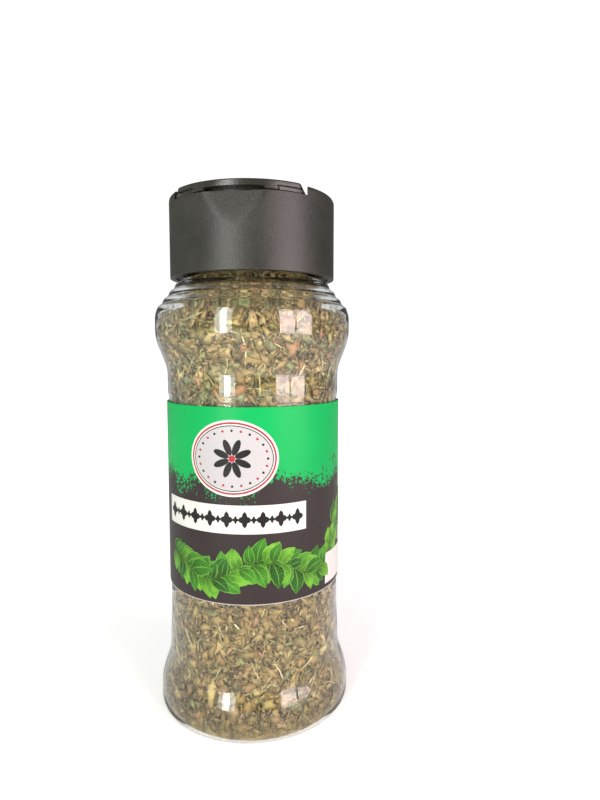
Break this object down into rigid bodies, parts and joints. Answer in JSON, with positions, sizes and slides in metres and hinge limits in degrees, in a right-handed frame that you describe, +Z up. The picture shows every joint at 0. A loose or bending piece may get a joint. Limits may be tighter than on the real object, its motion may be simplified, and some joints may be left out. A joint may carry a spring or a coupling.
{
  "type": "filled spice jar",
  "caption": "Clear waisted spice jar filled with dried herb flakes, with a wrap-round label and a black screw cap that has a flip-up door over sifter holes and another over a spoon opening.",
  "frame": {"origin": "centre of the base, on the surface the jar stands on", "axes": "+Z up along the jar's axis; -Y is the front, with the sifter door's thumb scoop and the middle of the label; +X is to the right seen from the front"},
  "size_m": [0.0488, 0.0488, 0.1274],
  "materials": {
    "clear_plastic": "clear, glossy",
    "dried_herb": "dry, matt, mixed olive, tan and brown",
    "printed_label": "satin film, green above charcoal",
    "black_plastic": "fine matt grain"
  },
  "bodies": {
    "jar": {"jar_body": "clear_plastic", "herb_fill": "dried_herb", "label": "printed_label"},
    "cap": {"cap_body": "black_plastic"},
    "sifter_door": {"door_front": "black_plastic"},
    "spoon_door": {"door_rear": "black_plastic"}
  },
  "joints": [
    {"name": "cap_turn", "type": "hinge", "parent": "jar", "child": "cap", "pos_m": [0, 0, 0.115], "axis": [0, 0, 1], "range_deg": [0, 360]},
    {"name": "sifter_door_hinge", "type": "hinge", "parent": "cap", "child": "sifter_door", "pos_m": [0, -0.0034, 0.1274], "axis": [-1, 0, 0], "range_deg": [0, 95]},
    {"name": "spoon_door_hinge", "type": "hinge", "parent": "cap", "child": "spoon_door", "pos_m": [0, 0.0034, 0.1274], "axis": [1, 0, 0], "range_deg": [0, 95]}
  ]
}
